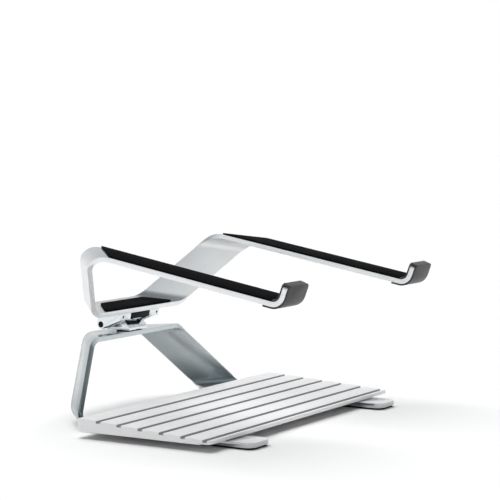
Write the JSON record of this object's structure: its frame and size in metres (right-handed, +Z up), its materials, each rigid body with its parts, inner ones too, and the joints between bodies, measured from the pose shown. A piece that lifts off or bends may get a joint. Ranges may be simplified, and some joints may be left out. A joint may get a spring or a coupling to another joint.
{
  "type": "laptop stand",
  "caption": "Desk laptop stand: two folded aluminium strips joined by a swivelling tilt hinge, arms with rubber hooks above a slatted base deck.",
  "frame": {"origin": "on the floor, under the centre of the stand's outline at rest", "axes": "+Z up, +X to the user's right along the deck's slats, -Y towards the user"},
  "size_m": [0.402, 0.3433, 0.2016],
  "materials": {
    "upper_aluminium": "bead-blasted satin, clear anodised",
    "lower_aluminium": "smooth semi-polished, clear anodised",
    "deck_aluminium": "fine satin, clear anodised",
    "hinge_metal": "machined satin",
    "steel": "bright machined steel",
    "dark_polymer": "moulded matt black",
    "black_rubber": "soft matt rubber",
    "sleeve_rubber": "soft matt dark grey rubber"
  },
  "bodies": {
    "base": {"lower_bracket": "lower_aluminium", "deck_panel": "deck_aluminium", "foot_pad_left": "black_rubber", "foot_pad_right": "black_rubber", "deck_screws": "steel", "swivel_spindle": "steel", "spindle_nut": "steel", "disc_spring": "steel", "swivel_washer": "dark_polymer"},
    "swivel": {"hinge_base": "hinge_metal", "bush_left": "dark_polymer", "bush_right": "dark_polymer"},
    "head": {"hinge_yoke": "hinge_metal", "hinge_pin": "steel", "pin_cap_left": "dark_polymer", "pin_cap_right": "dark_polymer", "thrust_washer_left": "steel", "thrust_washer_right": "steel", "tilt_stop": "dark_polymer", "yoke_screws": "steel", "grub_screws": "steel", "upper_bracket": "upper_aluminium", "centre_pad": "black_rubber", "arm_pad_left": "black_rubber", "arm_pad_right": "black_rubber", "hook_sleeve_left": "sleeve_rubber", "hook_sleeve_right": "sleeve_rubber"}
  },
  "joints": [
    {"name": "swivel_turn", "type": "hinge", "parent": "base", "child": "swivel", "pos_m": [0, 0.14437, 0.0932], "axis": [0, 0, 1], "continuous": true},
    {"name": "head_tilt", "type": "hinge", "parent": "swivel", "child": "head", "pos_m": [0, 0.15737, 0.101], "axis": [-1, 0, 0], "range_deg": [-18, 10]}
  ]
}
